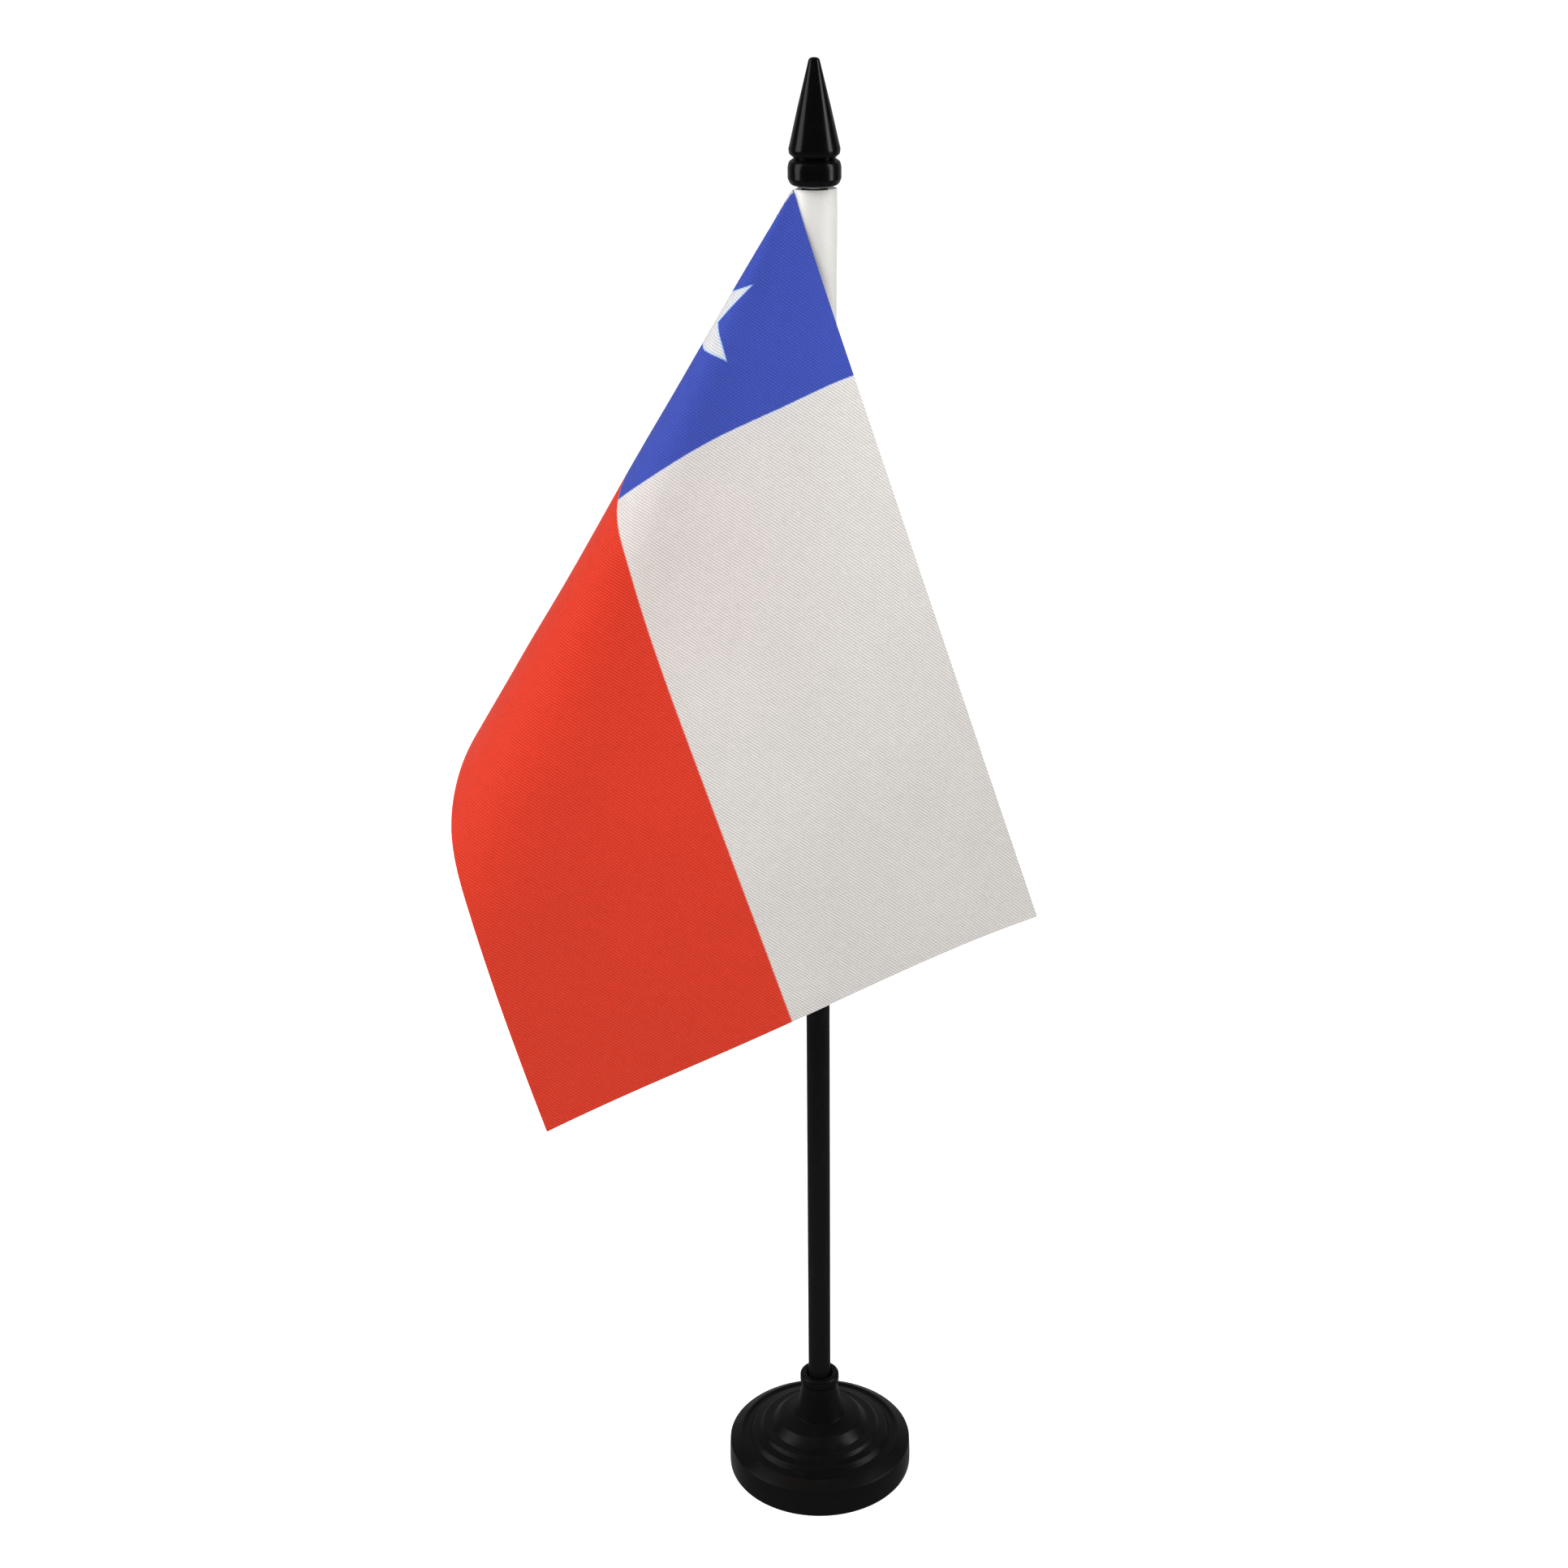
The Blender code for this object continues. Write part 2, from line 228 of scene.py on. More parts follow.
def spline_through(knots, values):
    """The natural cubic spline through the values, as a function."""
    knots, values = np.array(knots, float), np.array(values, float)
    count = len(knots)
    gaps = np.diff(knots)
    rises = np.diff(values, axis=0) / gaps[:, None]
    system = np.zeros((count, count))
    right = np.zeros((count, values.shape[1]))
    system[0, :2] = 2, 1
    right[0] = 3 * rises[0]
    system[-1, -2:] = 1, 2
    right[-1] = 3 * rises[-1]
    for i in range(1, count - 1):
        system[i, i - 1 : i + 2] = gaps[i], 2 * (gaps[i - 1] + gaps[i]), gaps[i - 1]
        right[i] = 3 * (gaps[i] * rises[i - 1] + gaps[i - 1] * rises[i])
    slopes = np.linalg.solve(system, right)

    def at(place):
        place = np.atleast_1d(np.asarray(place, float))
        i = np.clip(np.searchsorted(knots, place, side="right") - 1, 0, count - 2)
        gap = gaps[i][:, None]
        t = ((place - knots[i]) / gaps[i])[:, None]
        start = (1 + 2 * t) * (1 - t) ** 2 * values[i] + t * (1 - t) ** 2 * gap * slopes[i]
        end = t * t * (3 - 2 * t) * values[i + 1] + t * t * (t - 1) * gap * slopes[i + 1]
        return start + end

    return at


def ray_vectors():
    vectors = []
    for _, lean, bearing, stretch in FLAG_RAYS:
        lean, bearing = math.radians(lean), math.radians(bearing)
        across = stretch * math.sin(lean)
        vectors.append((across * math.cos(bearing), across * math.sin(bearing), -stretch * math.cos(lean)))
    return vectors


DRAPE = spline_through([ray[0] for ray in FLAG_RAYS], ray_vectors())
CORNER = np.array((CORNER_X * MM, CORNER_Y * MM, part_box("pole_sleeve")[1][2]))


def cloth_point(x, y):
    """Where a point of the flat cloth hangs; x along the top edge and y down, in mm."""
    x, y = np.atleast_1d(x).astype(float), np.atleast_1d(y).astype(float)
    reach = np.hypot(x, y)
    angle = np.degrees(np.arctan2(y, x))
    return CORNER + DRAPE(angle) * (reach * MM)[:, None]


def cloth_normal(x, y, step=0.4):
    """Points to the side that faces the viewer on the front layer."""
    across = cloth_point(x + step, y) - cloth_point(np.maximum(x - step, 0.01), y)
    down = cloth_point(x, y + step) - cloth_point(x, np.maximum(y - step, 0.01))
    normal = np.cross(down, across)
    return normal / np.linalg.norm(normal, axis=1)[:, None]


def make_flag(material):
    """The printed cloth, as a single fine sheet with slight waves off the smooth drape."""
    fly = np.linspace(0, FLAG_FLY, CLOTH_COLUMNS + 1)
    hoist = np.linspace(0, FLAG_HOIST, CLOTH_ROWS + 1)
    x, y = np.meshgrid(fly, hoist)
    x, y = x.ravel(), y.ravel()
    places = cloth_point(x, y)
    normals = cloth_normal(x, y)
    for i in range(len(x)):
        # The waves die out toward the corner and the seam, which hold the cloth.
        free = min(1.0, math.hypot(x[i], y[i]) / 60.0) * min(1.0, x[i] / 12.0)
        wave = noise.noise(Vector((x[i] / 26.0, y[i] / 38.0, 3.1)))
        ripple = noise.noise(Vector((x[i] / 9.0, y[i] / 13.0, 8.4)))
        places[i] += normals[i] * free * (WAVE_HEIGHT * wave + RIPPLE_HEIGHT * ripple) * MM
        places[i] += CORNER_TUCK * MM * math.exp(-math.hypot(x[i], y[i]) / TUCK_REACH)
    wide = CLOTH_COLUMNS + 1
    faces = []
    for row in range(CLOTH_ROWS):
        for column in range(CLOTH_COLUMNS):
            a = row * wide + column
            faces.append((a, a + wide, a + wide + 1, a + 1))
    obj = add_mesh("flag_sheet", places, faces, material, "flag", "flag_cloth")
    layer = obj.data.uv_layers.new(name="Cloth")
    for loop in obj.data.loops:
        i = loop.vertex_index
        layer.data[loop.index].uv = (x[i] / FLAG_FLY, 1 - y[i] / FLAG_HOIST)
    return obj


def make_tape(material):
    """The white tape folded round the pole and sewn over the back of the hoist, and its width in mm."""
    low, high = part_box("pole_sleeve")
    length = (high[2] - low[2]) / MM
    path = spline_through(range(len(TAPE_PATH)), TAPE_PATH)
    around = np.linspace(0, len(TAPE_PATH) - 1, TAPE_COLUMNS)
    outline = path(around)
    lap = np.linspace(TAPE_LAP, TAPE_LAP_EDGE, TAPE_LAP_COLUMNS)
    verts, faces = [], []
    for level in range(TAPE_LEVELS + 1):
        share = level / TAPE_LEVELS
        top = TAPE_MITRE * lap / TAPE_LAP
        down = top + (length - top) * share
        tuck = np.exp(-np.hypot(lap, down) / TUCK_REACH)[:, None] * CORNER_TUCK * MM
        verts += list(cloth_point(lap, down) + cloth_normal(lap, down) * TAPE_LAP_GAP * MM + tuck)
        z = high[2] - length * MM * share
        # The part round the pole hangs a little slack, and its edge is tucked in with the cloth's corner.
        for k, (x, y) in enumerate(outline):
            free = min(1.0, around[k] / 2.0)
            slack = math.exp(-((around[k] - 6.0) / 1.6) ** 2)
            sway = 0.10 * noise.noise(Vector((z / MM / 17.0, around[k] / 2.5, 1.7)))
            pull = slack * (0.12 * math.sin(z / MM / 11.0) + 0.08 * math.sin(z / MM / 4.7 + 1.0))
            grow = 1 + free * max(sway + pull, -0.12) / math.hypot(x, y)
            near = min(1.0, max(0.0, (-x - 2.6) / 1.7)) * math.exp(-length * share / TUCK_REACH)
            x = x * grow + CORNER_TUCK[0] * near
            y = y * grow + CORNER_TUCK[1] * near
            verts.append((x * MM, y * MM, z))
    wide = len(lap) + len(outline)
    for level in range(TAPE_LEVELS):
        for k in range(wide - 1):
            a = level * wide + k
            faces.append((a, a + wide, a + wide + 1, a + 1))
    obj = add_mesh("sleeve_tape", verts, faces, material, "flag", "pole_sleeve")
    middle = np.array(verts[(TAPE_LEVELS // 2) * wide : (TAPE_LEVELS // 2 + 1) * wide]) / MM
    along = np.concatenate([[0], np.cumsum(np.linalg.norm(np.diff(middle, axis=0), axis=1))])
    layer = obj.data.uv_layers.new(name="Cloth")
    for loop in obj.data.loops:
        level, k = divmod(loop.vertex_index, wide)
        layer.data[loop.index].uv = (along[k] / FLAG_FLY, 1 - level / TAPE_LEVELS * length / FLAG_HOIST)
    return obj, float(along[-1])


def make_stitches(material):
    """A row of single stitches down the hoist, on both faces of the seam."""
    verts, faces = [], []
    count = int((FLAG_HOIST - STITCH_TOP - STITCH_PITCH) / STITCH_PITCH)
    for n in range(count):
        for face in (1, -1):
            first = len(verts)
            start = STITCH_TOP + (n + (0.5 if face < 0 else 0.0)) * STITCH_PITCH
            for p in range(THREAD_PIECES + 1):
                t = p / THREAD_PIECES
                down = start + t * STITCH_LENGTH
                place = cloth_point(STITCH_IN, down)[0]
                normal = cloth_normal(STITCH_IN, down)[0]
                # On one face the thread lies over the tape, on the other close to the cloth.
                lift = (TAPE_LAP_GAP + 0.05 if face > 0 else 0.02) + STITCH_RISE * math.sin(math.pi * t)
                place = place + normal * face * lift * MM
                thick = THREAD_RADIUS * (0.45 + 0.55 * math.sin(math.pi * (0.12 + 0.76 * t))) * MM
                for side in range(THREAD_SIDES):
                    a = 2 * math.pi * side / THREAD_SIDES
                    verts.append(place + thick * np.array((math.cos(a), math.sin(a), 0)))
            for p in range(THREAD_PIECES):
                a = first + p * THREAD_SIDES
                b = a + THREAD_SIDES
                for side in range(THREAD_SIDES):
                    after = (side + 1) % THREAD_SIDES
                    faces.append((a + side, b + side, b + after, a + after))
            last = first + THREAD_PIECES * THREAD_SIDES
            faces.append(tuple(first + side for side in range(THREAD_SIDES)))
            faces.append(tuple(last + side for side in reversed(range(THREAD_SIDES))))
    return add_mesh("seam_stitches", verts, faces, material, "flag", "seam_thread")


# ---------------------------------------------------------------- materials

class Graph:
    """Short names for building one material's nodes."""

    def __init__(self, name):
        self.material = bpy.data.materials.new(name)
        self.material.use_nodes = True
        self.tree = self.material.node_tree
        self.tree.nodes.clear()
        self.output = self.node("ShaderNodeOutputMaterial")

    def node(self, kind, **settings):
        made = self.tree.nodes.new(kind)
        for key, value in settings.items():
            setattr(made, key, value)
        return made

    def put(self, socket, value):
        if hasattr(value, "is_output"):
            self.tree.links.new(value, socket)
        elif isinstance(value, tuple) and len(value) == 3 and len(socket.default_value) == 4:
            socket.default_value = (*value, 1.0)
        else:
            socket.default_value = value

    def math(self, operation, a, b=None, c=None, clamp=False):
        made = self.node("ShaderNodeMath", operation=operation, use_clamp=clamp)
        for socket, value in zip(made.inputs, (a, b, c)):
            if value is not None:
                self.put(socket, value)
        return made.outputs[0]

    def mix(self, share, a, b, blend="MIX"):
        made = self.node("ShaderNodeMix", data_type="RGBA", blend_type=blend)
        self.put(made.inputs[0], share)
        self.put(made.inputs[6], a)
        self.put(made.inputs[7], b)
        return made.outputs[2]

    def smooth(self, value, low, high, to_low=0.0, to_high=1.0):
        made = self.node("ShaderNodeMapRange", interpolation_type="SMOOTHSTEP")
        self.put(made.inputs["Value"], value)
        for key, number in (("From Min", low), ("From Max", high), ("To Min", to_low), ("To Max", to_high)):
            made.inputs[key].default_value = number
        return made.outputs["Result"]

    def noise(self, vector, scale, detail=2.0, roughness=0.5):
        made = self.node("ShaderNodeTexNoise")
        self.put(made.inputs["Vector"], vector)
        made.inputs["Scale"].default_value = scale
        made.inputs["Detail"].default_value = detail
        made.inputs["Roughness"].default_value = roughness
        return made.outputs["Fac"]

    def combine(self, x, y, z=0.0):
        made = self.node("ShaderNodeCombineXYZ")
        for socket, value in zip(made.inputs, (x, y, z)):
            self.put(socket, value)
        return made.outputs[0]

    def separate(self, vector):
        made = self.node("ShaderNodeSeparateXYZ")
        self.put(made.inputs[0], vector)
        return made.outputs

    def bump(self, height, distance, strength=1.0):
        made = self.node("ShaderNodeBump")
        self.put(made.inputs["Height"], height)
        made.inputs["Distance"].default_value = distance
        made.inputs["Strength"].default_value = strength
        return made.outputs[0]

    def principled(self, **sockets):
        made = self.node("ShaderNodeBsdfPrincipled")
        for key, value in sockets.items():
            self.put(made.inputs[key.replace("_", " ")], value)
        return made


def moulded_plastic(name, colour, rough_low, rough_high, specular, grain, coat=0.0, turned_lines=0.0):
    """Black moulded plastic: fine grain, uneven polish, a little dust and rubbed paler spots."""
    g = Graph(name)
    place = g.node("ShaderNodeTexCoord").outputs["Object"]
    cloudy = g.noise(place, 160.0, 3.0)
    fine = g.noise(place, 4200.0, 2.0)
    speck = g.noise(place, 1500.0, 4.0, 0.75)
    dust = g.smooth(speck, 0.66, 0.80)
    rubbed = g.smooth(g.noise(place, 320.0, 5.0, 0.7), 0.55, 0.80)
    worn = tuple(c * 2.2 + 0.004 for c in colour)
    tone = g.mix(g.math("MULTIPLY", rubbed, 0.5), colour, worn)
    tone = g.mix(g.math("MULTIPLY", dust, 0.25), tone, (0.10, 0.10, 0.095))
    rough = g.smooth(cloudy, 0.3, 0.7, rough_low, rough_high)
    rough = g.math("ADD", rough, g.math("MULTIPLY", dust, 0.2), clamp=True)
    height = g.math("ADD", g.math("MULTIPLY", fine, 0.6), g.math("MULTIPLY", cloudy, 0.8))
    if turned_lines:
        x, y, z = g.separate(place)
        lines = g.noise(g.combine(g.math("MULTIPLY", x, 2600.0), g.math("MULTIPLY", y, 2600.0),
                                  g.math("MULTIPLY", z, 60.0)), 1.0, 1.0)
        height = g.math("ADD", height, g.math("MULTIPLY", lines, turned_lines))
    shader = g.principled(Base_Color=tone, Roughness=rough, Normal=g.bump(height, grain))
    shader.inputs["Specular IOR Level"].default_value = specular
    shader.inputs["Coat Weight"].default_value = coat
    shader.inputs["Coat Roughness"].default_value = 0.08
    g.put(g.output.inputs["Surface"], shader.outputs[0])
    return g.material


def cloth_coordinates(g):
    """The flat cloth's coordinates in mm: along the fly, and down the hoist."""
    mapped = g.node("ShaderNodeUVMap", uv_map="Cloth")
    u, v, _ = g.separate(mapped.outputs[0])
    x = g.math("MULTIPLY", u, FLAG_FLY)
    y = g.math("MULTIPLY", g.math("SUBTRACT", 1.0, v), FLAG_HOIST)
    return x, y


def weave(g, x, y):
    """Twill: ribs on the slant, crossed by uneven yarns. Gives a height and a shade about 0.5."""
    slanted = g.math("ADD", g.math("MULTIPLY", x, RIB_ACROSS[0]), g.math("MULTIPLY", y, RIB_ACROSS[1]))
    uneven = g.noise(g.combine(g.math("MULTIPLY", x, 0.5), g.math("MULTIPLY", y, 0.5)), 1.3, 2.0)
    regular = g.math("MULTIPLY", slanted, 2 * math.pi / RIB_PITCH)
    phase = g.math("ADD", regular, g.math("MULTIPLY", uneven, 2.5))
    ribs = g.math("MULTIPLY_ADD", g.math("SINE", phase), 0.5, 0.5)
    warp = g.noise(g.combine(g.math("MULTIPLY", x, 0.35), g.math("MULTIPLY", y, 6.0)), 1.0, 2.0, 0.6)
    weft = g.noise(g.combine(g.math("MULTIPLY", x, 6.0), g.math("MULTIPLY", y, 0.35)), 1.0, 2.0, 0.6)
    yarns = g.math("MULTIPLY", g.math("ADD", warp, weft), 0.5)
    height = g.math("ADD", g.math("MULTIPLY", ribs, 0.6), g.math("MULTIPLY", yarns, 0.9))
    shade = g.math("ADD", g.math("MULTIPLY", ribs, 0.42), g.math("MULTIPLY", yarns, 0.58))
    return height, shade


def star_edge(g, x, y):
    """Distance in mm inside the star's edge, negative outside."""
    across = g.math("SUBTRACT", x, STAR_X)
    up = g.math("SUBTRACT", STAR_Y, y)
    reach = g.math("SQRT", g.math("ADD", g.math("MULTIPLY", across, across), g.math("MULTIPLY", up, up)))
    turn = g.math("ARCTAN2", across, up)
    fifth = 2 * math.pi / 5
    nearest = g.math("ROUND", g.math("DIVIDE", turn, fifth))
    folded = g.math("ABSOLUTE", g.math("SUBTRACT", turn, g.math("MULTIPLY", nearest, fifth)))
    along = g.math("MULTIPLY", reach, g.math("COSINE", folded))
    side = g.math("MULTIPLY", reach, g.math("SINE", folded))
    # The edge runs from the point (radius, 0) to the notch at a tenth of a turn.
    notch = STAR_RADIUS * STAR_INNER
    to_x = notch * math.cos(fifth / 2) - STAR_RADIUS
    to_y = notch * math.sin(fifth / 2)
    length = math.hypot(to_x, to_y)
    from_tip = g.math("SUBTRACT", along, STAR_RADIUS)
    left = g.math("MULTIPLY", from_tip, -to_y / length)
    right = g.math("MULTIPLY", side, to_x / length)
    return g.math("ADD", left, right)


def printed_cloth(name):
    """Printed polyester twill: red and white bands, blue square, white star, with painted shade darker toward
    the free end.
    """
    g = Graph(name)
    x, y = cloth_coordinates(g)
    height, shade = weave(g, x, y)
    jitter = g.math("MULTIPLY", g.math("SUBTRACT", g.noise(g.combine(x, y), 2.2, 3.0, 0.7), 0.5), 0.30)
    px, py = g.math("ADD", x, jitter), g.math("ADD", y, jitter)

    white = (0.605, 0.578, 0.555)
    red = (0.605, 0.035, 0.0140)
    blue = (0.040, 0.067, 0.372)
    starlight = (0.60, 0.595, 0.605)
    pale = (0.45, 0.58, 0.76)
    edge_glow = (0.56, 0.62, 0.74)
    to_red = g.smooth(py, BAND_EDGE - PRINT_BLUR, BAND_EDGE + PRINT_BLUR)
    colour = g.mix(to_red, white, red)
    in_x = g.smooth(px, CANTON_WIDTH - 0.18, CANTON_WIDTH + 0.18, 1.0, 0.0)
    in_y = g.smooth(py, BAND_EDGE - PRINT_BLUR, BAND_EDGE + PRINT_BLUR, 1.0, 0.0)
    in_canton = g.math("MULTIPLY", in_x, in_y)
    inside = star_edge(g, px, py)
    halo = g.smooth(inside, -0.22, 0.05)
    in_star = g.smooth(inside, 0.05, 0.40)
    canton = g.mix(halo, blue, pale)
    canton = g.mix(in_star, canton, starlight)
    # The white beside the blue square takes a faint blue glow, as the star's edge does.
    beside = g.math("MULTIPLY", in_y, g.smooth(px, CANTON_WIDTH + 0.15, CANTON_WIDTH + 0.55, 0.7, 0.0))
    colour = g.mix(beside, colour, edge_glow)
    colour = g.mix(in_canton, colour, canton)

    # Dye density varies in soft patches and from yarn to yarn.
    patches = g.noise(g.combine(x, y), 0.05, 3.0)
    density = g.math("ADD", g.math("MULTIPLY", g.math("SUBTRACT", patches, 0.5), 0.10),
                     g.math("MULTIPLY", g.math("SUBTRACT", shade, 0.5), 0.95))
    # Painted shade: the cloth is made brighter at the hoist and darker toward the free end, standing in for
    # the light falling off across the flag.
    painted_falloff = g.smooth(x, 20.0, 150.0, 1.06, 0.89)
    gain = g.math("MULTIPLY", g.math("ADD", density, 1.0), painted_falloff)
    colour = g.mix(1.0, colour, g.combine(gain, gain, gain), "MULTIPLY")
    bare = g.smooth(g.noise(g.combine(x, y), 3.4, 2.0, 0.5), 0.69, 0.80)
    colour = g.mix(g.math("MULTIPLY", bare, 0.10), colour, (0.85, 0.80, 0.78))

    return finish_cloth(g, colour, height, 0.22)


def plain_cloth(name):
    """White twill tape, with painted shade: a grey stripe where it touches the black rod, standing in for the
    rod showing through.
    """
    g = Graph(name)
    x, y = cloth_coordinates(g)
    height, shade = weave(g, x, y)
    gain = g.math("ADD", g.math("MULTIPLY", g.math("SUBTRACT", shade, 0.5), 0.25), 1.0)
    place_x, place_y, _ = g.separate(g.node("ShaderNodeTexCoord").outputs["Object"])
    from_axis = g.math("SQRT", g.math("ADD", g.math("MULTIPLY", place_x, place_x),
                                      g.math("MULTIPLY", place_y, place_y)))
    # Painted shade: the tape is darkest within 2.6 mm of the axis, where it lies against the rod, fading out
    # by 3.5 mm.
    gain = g.math("MULTIPLY", gain, g.smooth(from_axis, 2.6 * MM, 3.5 * MM, 0.74, 1.0))
    colour = g.mix(1.0, (0.92, 0.905, 0.87), g.combine(gain, gain, gain), "MULTIPLY")
    return finish_cloth(g, colour, height, 0.22)


def finish_cloth(g, colour, height, through):
    """Thin cloth: a soft sheen in front, and light let through from behind."""
    normal = g.bump(height, WEAVE_DEPTH * MM, 0.8)
    front = g.principled(Base_Color=colour, Normal=normal)
    front.inputs["Roughness"].default_value = 0.72
    front.inputs["Specular IOR Level"].default_value = 0.25
    front.inputs["Sheen Weight"].default_value = 0.08
    front.inputs["Sheen Roughness"].default_value = 0.45
    behind = g.node("ShaderNodeBsdfTranslucent")
    g.put(behind.inputs["Color"], colour)
    g.put(behind.inputs["Normal"], normal)
    cloth = g.node("ShaderNodeMixShader")
    cloth.inputs[0].default_value = through
    g.put(cloth.inputs[1], front.outputs[0])
    g.put(cloth.inputs[2], behind.outputs[0])
    g.put(g.output.inputs["Surface"], cloth.outputs[0])
    return g.material


def thread_material():
    g = Graph("white_sewing_thread")
    place = g.node("ShaderNodeTexCoord").outputs["Object"]
    x, _, z = g.separate(place)
    ply = g.math("SINE", g.math("ADD", g.math("MULTIPLY", z, 2 * math.pi / (0.35 * MM)),
                                g.math("MULTIPLY", x, 2 * math.pi / (0.5 * MM))))
    shade = g.smooth(ply, -1.0, 1.0, 0.72, 1.0)
    colour = g.mix(1.0, (0.84, 0.82, 0.78), g.combine(shade, shade, shade), "MULTIPLY")
    shader = g.principled(Base_Color=colour, Normal=g.bump(ply, 0.03 * MM))
    shader.inputs["Roughness"].default_value = 0.55
    shader.inputs["Sheen Weight"].default_value = 0.2
    g.put(g.output.inputs["Surface"], shader.outputs[0])
    return g.material


# ---------------------------------------------------------------- the pieces

satin = moulded_plastic("black_satin_moulding", (0.0026, 0.0026, 0.0027), 0.30, 0.42, 0.30, 0.012 * MM)
rod_black = moulded_plastic("black_satin_rod", (0.0040, 0.0042, 0.0041), 0.36, 0.46, 0.30, 0.010 * MM,
                            turned_lines=0.5)
gloss = moulded_plastic("black_gloss_moulding", (0.0014, 0.0014, 0.0014), 0.16, 0.24, 0.34, 0.006 * MM,
                        coat=0.14)
twill = printed_cloth("printed_twill")
tape_cloth = plain_cloth("white_twill")
thread = thread_material()

foot_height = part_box("base")[1][2] / MM
foot_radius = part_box("base")[1][0] / MM
# From the socket's floor out over the lip, down the neck, over three rings, the crest and the shoulder
# to the skirt, and back through the hollow underneath
foot_profile = filleted([
    (0.0, 2.0, 0),
    (SOCKET_RADIUS, 2.0, 0.2),
    (SOCKET_RADIUS, foot_height - 0.02, 0.65),
    (4.22, foot_height - 0.02, 0.85),
    (4.22, 21.2, 0.55),
    (3.86, 20.75, 0.3),
    (3.98, 19.3, 1.0),
    (4.45, 16.9, 3.0),
    (4.95, 14.6, 2.0),
    (5.4, 12.9, 0.2),
    (7.4, 12.3, 2.0),
    (8.8, 12.0, 1.2),
    (10.3, 10.45, 1.2),
    (10.65, 9.95, 0.25),
    (12.4, 9.85, 0.7),
    (12.85, 9.3, 0.35),
    (13.1, 9.05, 0.25),
    (14.6, 8.65, 0.7),
    (15.15, 7.95, 0.35),
    (15.4, 7.6, 0.25),
    (16.5, 7.4, 0.5),
    (17.1, 7.8, 0.6),
    (foot_radius - 0.14, 6.15, 0.35),
    (foot_radius, 2.8, 1.0),
    (foot_radius - 0.02, 0.0, 0.45),
    (foot_radius - FOOT_WALL, 0.0, 0.15),
    (foot_radius - FOOT_WALL, 3.9, 0.3),
    (17.2, 5.75, 0.3),
    (12.7, 5.8, 0.3),
    (7.6, 8.3, 0.4),
    (4.6, 9.0, 0.4),
    (4.6, 0.0, 0.15),
    (0.0, 0.0, 0),
][::-1])
turned("foot", foot_profile, 144, satin, "base", "base")

pole_low, pole_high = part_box("pole")
pole_radius = (pole_high[0] - pole_low[0]) / 2 / MM
pole_length = (pole_high[2] - pole_low[2]) / MM
pole_rows = [(pole_radius, 1.0 + (pole_length - 2.0) * i / 24, 0) for i in range(25)]
pole_profile = filleted([
    (0.0, 0.0, 0),
    (pole_radius - 0.35, 0.0, 0.1),
    (pole_radius, 0.35, 0.1),
    *pole_rows,
    (pole_radius, pole_length - 0.35, 0.1),
    (pole_radius - 0.35, pole_length, 0.1),
    (0.0, pole_length, 0),
])
turned("pole_rod", pole_profile, 72, rod_black, "pole", "pole", base_z=pole_low[2])

finial_low, finial_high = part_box("finial")
finial_height = (finial_high[2] - finial_low[2]) / MM
# From the socket's roof out round the collar, through the groove and up the spear
finial_profile = filleted([
    (0.0, 6.4, 0),
    (SOCKET_RADIUS, 6.4, 0.2),
    (SOCKET_RADIUS, 0.0, 0.15),
    (3.1, 0.0, 0.2),
    (4.3, 0.45, 0.9),
    (4.72, 1.45, 0.9),
    (4.72, 3.4, 1.1),
    (4.5, 4.4, 0.8),
    (3.9, 4.82, 0.2),
    (3.5, 5.02, 0.1),
    (3.9, 5.2, 0.2),
    (4.45, 5.7, 0.7),
    (4.56, 6.6, 0.7),
    (4.35, 7.4, 0.8),
    (2.9, 13.7, 3.0),
    (1.22, finial_height - 1.35, 1.2),
    (0.95, finial_height - 0.25, 0.75),
    (0.45, finial_height, 0.5),
    (0.0, finial_height, 0),
])
turned("spear_finial", finial_profile, 128, gloss, "finial", "finial",
       base_z=finial_low[2], seam=SEAM_HEIGHT)

flag = make_flag(twill)
tape, tape_width = make_tape(tape_cloth)
make_stitches(thread)


# ---------------------------------------------------------------- studio

def make_floor():
    """A wide pale light table."""
    g = Graph("studio_paper")
    place = g.node("ShaderNodeTexCoord").outputs["Object"]
    paper = g.noise(place, 900.0, 3.0)
    shade = g.smooth(paper, 0.3, 0.7, 0.925, 0.945)
    shader = g.principled(Base_Color=g.combine(shade, shade, shade), Normal=g.bump(paper, 0.02 * MM))
    shader.inputs["Roughness"].default_value = 0.9
    shader.inputs["Specular IOR Level"].default_value = 0.1
    shader.inputs["Emission Color"].default_value = WHITE
    # The paper burns out to pure white where it is seen, without lighting the cloth from below as strongly.
    seen = g.node("ShaderNodeLightPath").outputs["Is Camera Ray"]
    glow = g.math("MULTIPLY_ADD", seen, FLOOR_SEEN - FLOOR_GLOW, FLOOR_GLOW)
    g.put(shader.inputs["Emission Strength"], glow)
    g.put(g.output.inputs["Surface"], shader.outputs[0])
    mesh = bpy.data.meshes.new("studio_floor")
    shape = bmesh.new()
    bmesh.ops.create_circle(shape, cap_ends=True, radius=FLOOR_RADIUS, segments=96)
    shape.to_mesh(mesh)
    shape.free()
    mesh.materials.append(g.material)
    floor = bpy.data.objects.new("studio_floor", mesh)
    floor.visible_glossy = False
    bpy.context.scene.collection.objects.link(floor)


def softbox(name, place, aim, width, height, power, mirrored):
    light = bpy.data.lights.new(name, "AREA")
    light.shape = "RECTANGLE"
    light.size = width
    light.size_y = height
    light.energy = power
    obj = bpy.data.objects.new(name, light)
    obj.location = place
    obj.visible_glossy = mirrored
    obj.rotation_euler = (Vector(aim) - Vector(place)).to_track_quat("-Z", "Y").to_euler()
    bpy.context.scene.collection.objects.link(obj)


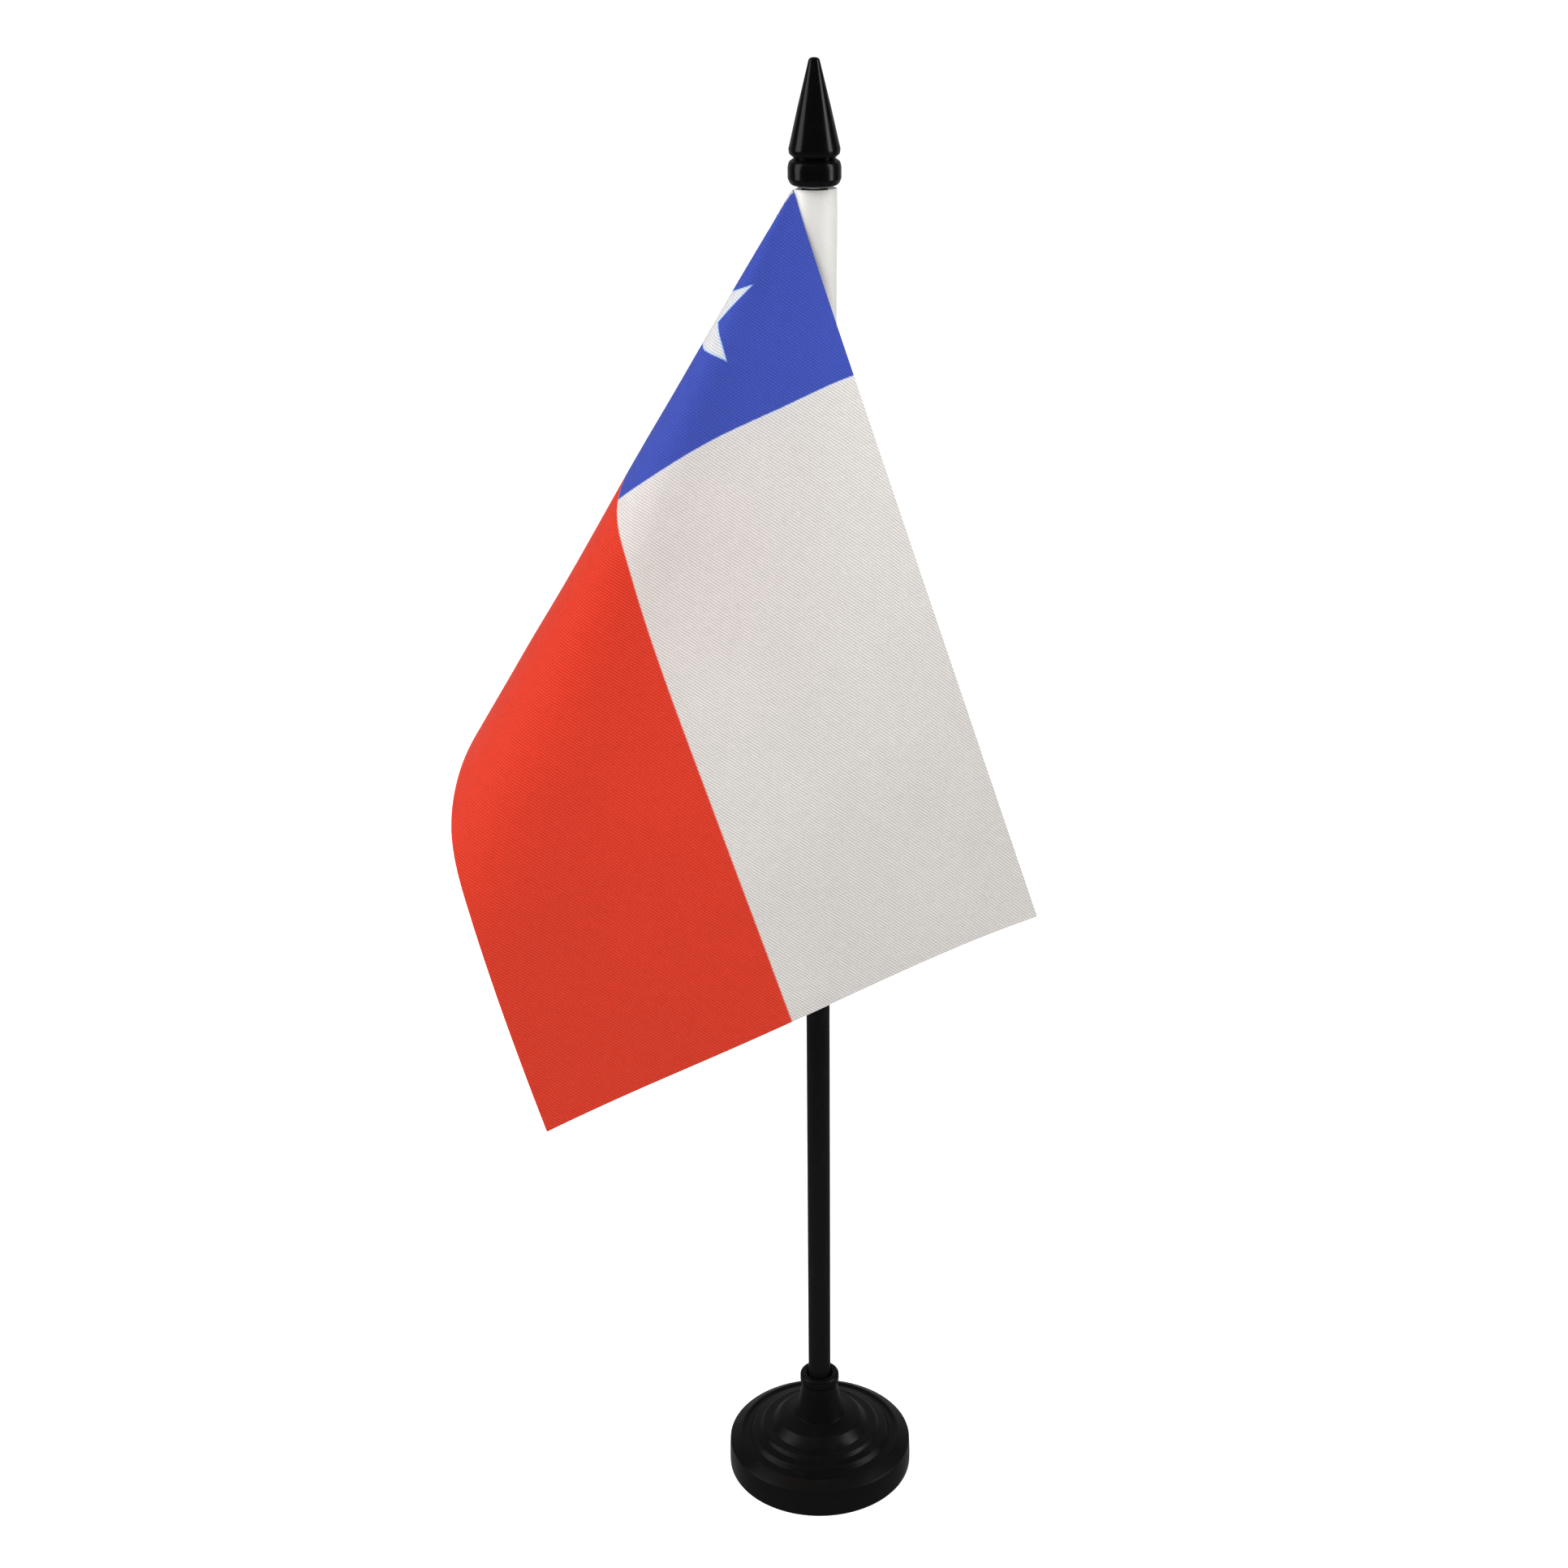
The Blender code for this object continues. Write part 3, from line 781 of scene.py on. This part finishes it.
def make_world():
    """Even white light from all round; shiny surfaces mirror a darker room, paler at the back and below."""
    world = bpy.data.worlds.new("studio")
    bpy.context.scene.world = world
    world.use_nodes = True
    tree = world.node_tree
    tree.nodes.clear()
    path = tree.nodes.new("ShaderNodeLightPath")
    out = tree.nodes.new("ShaderNodeOutputWorld")
    shown = None
    for strength, ray in ((ROOM_LIGHT, None), (ROOM_MIRRORED, "Is Glossy Ray"), (ROOM_SEEN, "Is Camera Ray")):
        glow = tree.nodes.new("ShaderNodeBackground")
        glow.inputs["Color"].default_value = WHITE
        glow.inputs["Strength"].default_value = strength
        if ray == "Is Glossy Ray":
            toward = tree.nodes.new("ShaderNodeSeparateXYZ")
            tree.links.new(tree.nodes.new("ShaderNodeTexCoord").outputs["Generated"], toward.inputs[0])
            behind = tree.nodes.new("ShaderNodeMapRange")
            behind.interpolation_type = "SMOOTHSTEP"
            behind.inputs["From Min"].default_value = 0.3
            behind.inputs["From Max"].default_value = 0.95
            behind.inputs["To Min"].default_value = strength
            behind.inputs["To Max"].default_value = ROOM_MIRRORED_BEHIND
            tree.links.new(toward.outputs["Y"], behind.inputs["Value"])
            below = tree.nodes.new("ShaderNodeMapRange")
            below.interpolation_type = "SMOOTHSTEP"
            below.inputs["From Min"].default_value = -0.15
            below.inputs["From Max"].default_value = -0.55
            below.inputs["To Min"].default_value = 0.0
            below.inputs["To Max"].default_value = ROOM_MIRRORED_BELOW
            tree.links.new(toward.outputs["Z"], below.inputs["Value"])
            total = tree.nodes.new("ShaderNodeMath")
            tree.links.new(behind.outputs["Result"], total.inputs[0])
            tree.links.new(below.outputs["Result"], total.inputs[1])
            tree.links.new(total.outputs[0], glow.inputs["Strength"])
        if shown is None:
            shown = glow
            continue
        mixed = tree.nodes.new("ShaderNodeMixShader")
        tree.links.new(path.outputs[ray], mixed.inputs[0])
        tree.links.new(shown.outputs[0], mixed.inputs[1])
        tree.links.new(glow.outputs[0], mixed.inputs[2])
        shown = mixed
    tree.links.new(shown.outputs[0], out.inputs["Surface"])


def make_camera():
    data = bpy.data.cameras.new("camera")
    data.lens = CAMERA_LENS
    data.sensor_width = CAMERA_SENSOR
    data.shift_x = CAMERA_SHIFT
    data.clip_start = CAMERA_NEAR
    obj = bpy.data.objects.new("camera", data)
    obj.location = CAMERA_PLACE
    tilt = math.radians(CAMERA_TILT)
    facing = Vector((0.0, math.cos(tilt), -math.sin(tilt)))
    obj.rotation_euler = facing.to_track_quat("-Z", "Y").to_euler()
    obj.rotation_euler.rotate_axis("Z", math.radians(CAMERA_ROLL))
    bpy.context.scene.collection.objects.link(obj)
    bpy.context.scene.camera = obj


make_floor()
make_world()
for box in SOFTBOXES:
    softbox(*box)
make_camera()
bpy.context.scene.view_settings.view_transform = "Standard"
